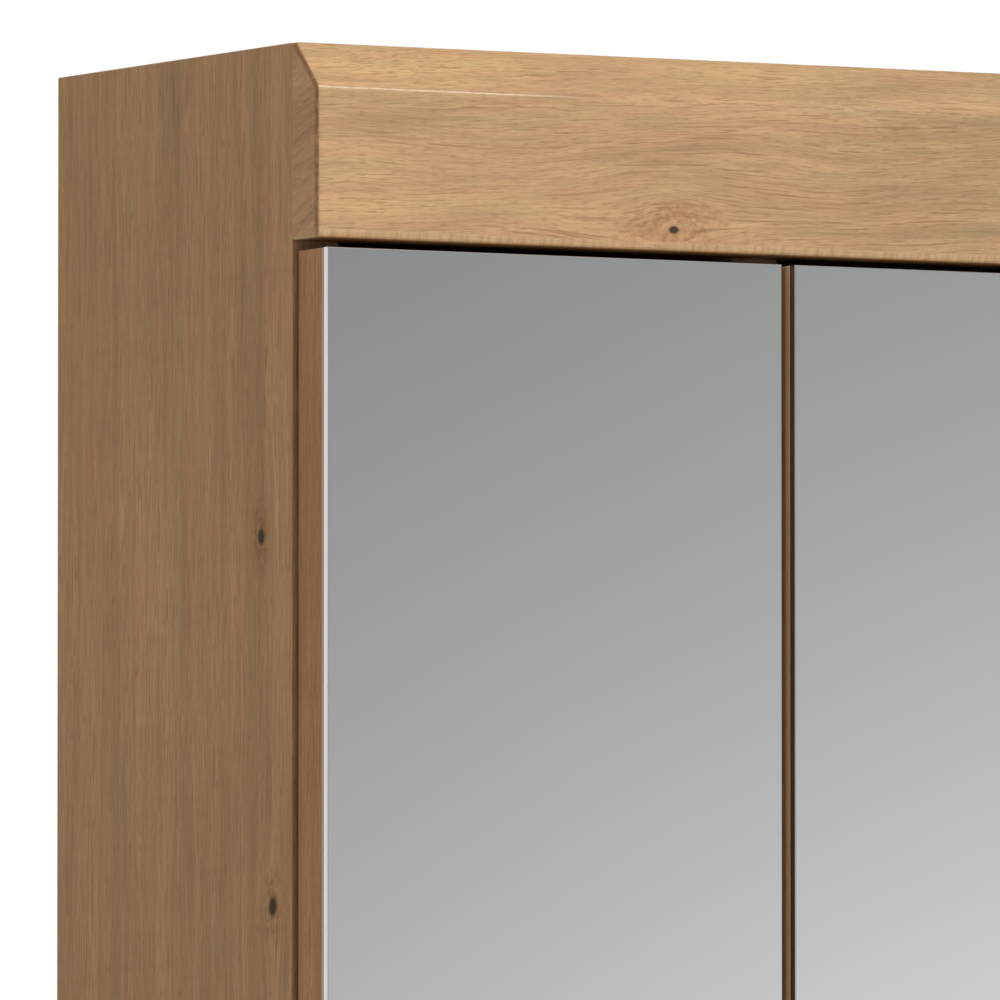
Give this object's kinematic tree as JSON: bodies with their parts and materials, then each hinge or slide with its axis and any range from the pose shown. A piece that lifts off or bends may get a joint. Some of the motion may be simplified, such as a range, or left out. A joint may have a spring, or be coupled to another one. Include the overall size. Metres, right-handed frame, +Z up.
{
  "type": "mirror cabinet",
  "caption": "Wide, shallow wall cabinet in oak decor with a chamfered cornice, glass shelves and frameless mirror doors on concealed four-bar hinges.",
  "frame": {"origin": "centre of the cabinet's footprint, on the plane that the lower ends of the side panels stand on", "axes": "+Z up, X across the width, the doors face -Y and the wall is at +Y"},
  "size_m": [0.65, 0.173, 0.73],
  "materials": {
    "oak_decor": "oak-decor foil on particle board, fine lengthwise grain, satin",
    "back_board": "thin hardboard, oak-decor print inside, plain brown outside",
    "mirror_glass": "clear float mirror with ground edges",
    "shelf_glass": "clear float glass with ground edges",
    "nickelled_steel": "nickel-plated pressed steel",
    "zinc_steel": "bright zinc-plated steel",
    "cam_zinc": "die-cast zinc, dull",
    "beech": "raw beech, fluted",
    "support_metal": "nickel-plated shelf support",
    "bumper_rubber": "clear soft bumper"
  },
  "bodies": {
    "carcass": {"side_panel_left": "oak_decor", "side_panel_right": "oak_decor", "top_panel": "oak_decor", "bottom_panel": "oak_decor", "divider_left": "oak_decor", "divider_right": "oak_decor", "cornice_board": "oak_decor", "hanging_rail": "oak_decor", "back_panel": "back_board", "glass_shelf_left_lower": "shelf_glass", "glass_shelf_left_upper": "shelf_glass", "glass_shelf_centre_lower": "shelf_glass", "glass_shelf_centre_upper": "shelf_glass", "glass_shelf_right_lower": "shelf_glass", "glass_shelf_right_upper": "shelf_glass", "hinge_arms": "nickelled_steel", "hinge_plates": "nickelled_steel", "plate_screws": "zinc_steel", "adjusting_screws": "zinc_steel", "cornice_screws": "zinc_steel", "divider_screws": "zinc_steel", "cam_bolts": "zinc_steel", "arm_pins": "zinc_steel", "cornice_brackets": "zinc_steel", "cam_locks": "cam_zinc", "wood_dowels": "beech", "shelf_supports": "support_metal", "door_bumpers": "bumper_rubber"},
    "outer_links_left": {"outer_links_left": "nickelled_steel"},
    "inner_links_left": {"inner_links_left": "nickelled_steel"},
    "door_left": {"door_board_left": "oak_decor", "mirror_left": "mirror_glass", "hinge_cups_left": "nickelled_steel", "cup_pins_left": "zinc_steel", "cup_screws_left": "zinc_steel"},
    "outer_links_centre": {"outer_links_centre": "nickelled_steel"},
    "inner_links_centre": {"inner_links_centre": "nickelled_steel"},
    "door_centre": {"door_board_centre": "oak_decor", "mirror_centre": "mirror_glass", "hinge_cups_centre": "nickelled_steel", "cup_pins_centre": "zinc_steel", "cup_screws_centre": "zinc_steel"},
    "outer_links_right": {"outer_links_right": "nickelled_steel"},
    "inner_links_right": {"inner_links_right": "nickelled_steel"},
    "door_right": {"door_board_right": "oak_decor", "mirror_right": "mirror_glass", "hinge_cups_right": "nickelled_steel", "cup_pins_right": "zinc_steel", "cup_screws_right": "zinc_steel"}
  },
  "joints": [
    {"name": "left_outer_link", "type": "hinge", "parent": "carcass", "child": "outer_links_left", "pos_m": [-0.291, -0.0535, 0.3335], "axis": [0, 0, -1], "range_deg": [-23, 0]},
    {"name": "left_door", "type": "hinge", "parent": "outer_links_left", "child": "door_left", "pos_m": [-0.314, -0.0745, 0.3335], "axis": [0, 0, -1], "range_deg": [0, 117.8]},
    {"name": "left_inner_link", "type": "hinge", "parent": "carcass", "child": "inner_links_left", "pos_m": [-0.2915, -0.073, 0.3335], "axis": [0, 0, -1], "range_deg": [-34.4, 0]},
    {"name": "centre_outer_link", "type": "hinge", "parent": "carcass", "child": "outer_links_centre", "pos_m": [-0.1295, -0.0535, 0.3335], "axis": [0, 0, -1], "range_deg": [-23, 0]},
    {"name": "centre_door", "type": "hinge", "parent": "outer_links_centre", "child": "door_centre", "pos_m": [-0.1525, -0.0745, 0.3335], "axis": [0, 0, -1], "range_deg": [0, 117.8]},
    {"name": "centre_inner_link", "type": "hinge", "parent": "carcass", "child": "inner_links_centre", "pos_m": [-0.13, -0.073, 0.3335], "axis": [0, 0, -1], "range_deg": [-34.4, 0]},
    {"name": "right_outer_link", "type": "hinge", "parent": "carcass", "child": "outer_links_right", "pos_m": [0.291, -0.0535, 0.3335], "axis": [0, 0, 1], "range_deg": [-23, 0]},
    {"name": "right_door", "type": "hinge", "parent": "outer_links_right", "child": "door_right", "pos_m": [0.314, -0.0745, 0.3335], "axis": [0, 0, 1], "range_deg": [0, 117.8]},
    {"name": "right_inner_link", "type": "hinge", "parent": "carcass", "child": "inner_links_right", "pos_m": [0.2915, -0.073, 0.3335], "axis": [0, 0, 1], "range_deg": [-34.4, 0]}
  ],
  "couplings": [
    {"joint": "left_outer_link", "follows": "left_door", "ratio": -0.19355},
    {"joint": "left_inner_link", "follows": "left_door", "ratio": -0.29032},
    {"joint": "centre_outer_link", "follows": "centre_door", "ratio": -0.19355},
    {"joint": "centre_inner_link", "follows": "centre_door", "ratio": -0.29032},
    {"joint": "right_outer_link", "follows": "right_door", "ratio": -0.19355},
    {"joint": "right_inner_link", "follows": "right_door", "ratio": -0.29032}
  ]
}
